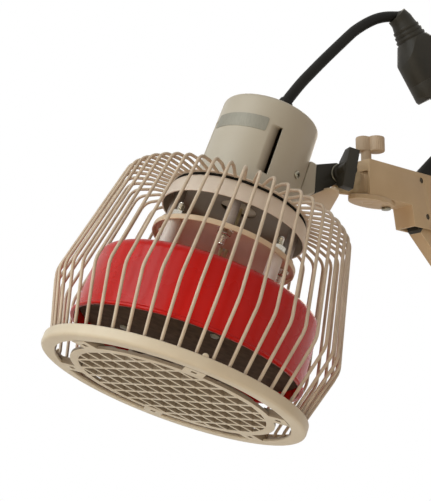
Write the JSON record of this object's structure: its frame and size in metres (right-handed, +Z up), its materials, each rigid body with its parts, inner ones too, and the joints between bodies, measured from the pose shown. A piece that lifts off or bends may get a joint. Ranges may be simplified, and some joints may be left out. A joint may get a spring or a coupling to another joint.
{
  "type": "heat lamp head on a folding arm",
  "caption": "Caged heat lamp head with a red shell, mineral plate and lattice guard, on a tilting hinge, swivel knuckle and parallel arm with a stand spigot.",
  "frame": {"origin": "shoulder of the stand spigot, on the spigot's axis", "axes": "+Z up along the spigot, +Y away from the side that the picture shows, the lamp tilts about Y and its head lies to -X of the stand"},
  "size_m": [0.4409, 0.2211, 0.3695],
  "materials": {
    "cream_paint": "satin",
    "cream_plastic": "satin",
    "cream_guard": "satin",
    "beige_paint": "satin",
    "beige_plastic": "satin",
    "black_plastic": "matte",
    "black_rubber": "matte",
    "plated_steel": "satin",
    "dark_steel": "satin",
    "red_paint": "gloss",
    "mineral": "matte",
    "white_ceramic": "satin",
    "ivory_paint": "satin",
    "post_alloy": "satin",
    "mineral_wool": "matte",
    "coil_wire": "matte",
    "label_film": "satin",
    "friction_fibre": "matte",
    "lead_sleeve": "matte"
  },
  "bodies": {
    "shoulder": {"stand_spigot": "plated_steel", "shoulder_bracket": "beige_paint", "shoulder_pins": "dark_steel"},
    "arm": {"arm_channel": "beige_paint", "arm_nose": "black_plastic"},
    "tie": {"tie_bar": "beige_paint"},
    "knuckle": {"knuckle_box": "beige_paint", "knuckle_pins": "dark_steel", "leaf_plate": "beige_paint", "leaf_screw": "dark_steel", "lead_grommet": "black_rubber", "arm_lead": "black_rubber"},
    "clamp_screw": {"wing_screw": "beige_plastic"},
    "swivel": {"swivel_ear": "beige_paint", "friction_discs": "friction_fibre", "pivot_bolt": "plated_steel", "head_lead": "black_rubber", "lead_plug": "black_plastic", "lead_socket": "black_plastic"},
    "tilt_knob": {"wing_knob": "black_plastic", "pivot_washer": "plated_steel"},
    "lamp": {"head_bracket": "beige_paint", "hinge_block": "black_plastic", "bracket_screws": "plated_steel", "neck_housing": "cream_plastic", "neck_screws": "plated_steel", "cord_gland": "black_rubber", "blank_label": "label_film", "terminal_block": "white_ceramic", "inner_leads": "lead_sleeve", "thermal_fuse": "plated_steel", "cage_collar": "cream_paint", "cage_wires": "cream_paint", "cage_hoop": "cream_paint", "guard_ring": "cream_guard", "ring_clips": "cream_guard", "guard_grille": "cream_guard", "guard_screws": "plated_steel", "top_dish": "cream_paint", "upper_posts": "post_alloy", "shield_nuts": "plated_steel", "heat_shield": "ivory_paint", "lower_posts": "white_ceramic", "post_screws": "plated_steel", "red_shell": "red_paint", "insulation_pad": "mineral_wool", "heater_former": "white_ceramic", "heater_coil": "coil_wire", "mineral_plate": "mineral", "plate_screws": "plated_steel"}
  },
  "joints": [
    {"name": "arm_lift", "type": "hinge", "parent": "shoulder", "child": "arm", "pos_m": [0, 0, 0.024], "axis": [-0.3453, 0.9385, 0], "range_deg": [-25, 10]},
    {"name": "tie_swing", "type": "hinge", "parent": "shoulder", "child": "tie", "pos_m": [-0.00629, -0.00231, 0.0537], "axis": [-0.3453, 0.9385, 0], "range_deg": [-25, 10]},
    {"name": "knuckle_level", "type": "hinge", "parent": "arm", "child": "knuckle", "pos_m": [-0.10624, -0.03909, 0.12241], "axis": [-0.3453, 0.9385, 0], "range_deg": [-10, 25]},
    {"name": "clamp_turn", "type": "hinge", "parent": "knuckle", "child": "clamp_screw", "pos_m": [-0.16537, -0.06084, 0.15831], "axis": [0, 0, 1], "range_deg": [0, 360]},
    {"name": "lamp_swivel", "type": "hinge", "parent": "knuckle", "child": "swivel", "pos_m": [-0.16537, -0.06084, 0.15831], "axis": [0, 0, 1], "range_deg": [-20, 20], "deforming": ["arm_lead"]},
    {"name": "lamp_tilt", "type": "hinge", "parent": "swivel", "child": "lamp", "pos_m": [-0.19537, -0.06084, 0.14271], "axis": [0, 1, 0], "range_deg": [-15, 45], "deforming": ["head_lead"]},
    {"name": "knob_turn", "type": "hinge", "parent": "swivel", "child": "tilt_knob", "pos_m": [-0.19537, -0.06084, 0.14271], "axis": [0, -1, 0], "range_deg": [0, 360]}
  ],
  "couplings": [
    {"joint": "tie_swing", "follows": "arm_lift", "ratio": 1},
    {"joint": "knuckle_level", "follows": "arm_lift", "ratio": -1}
  ]
}
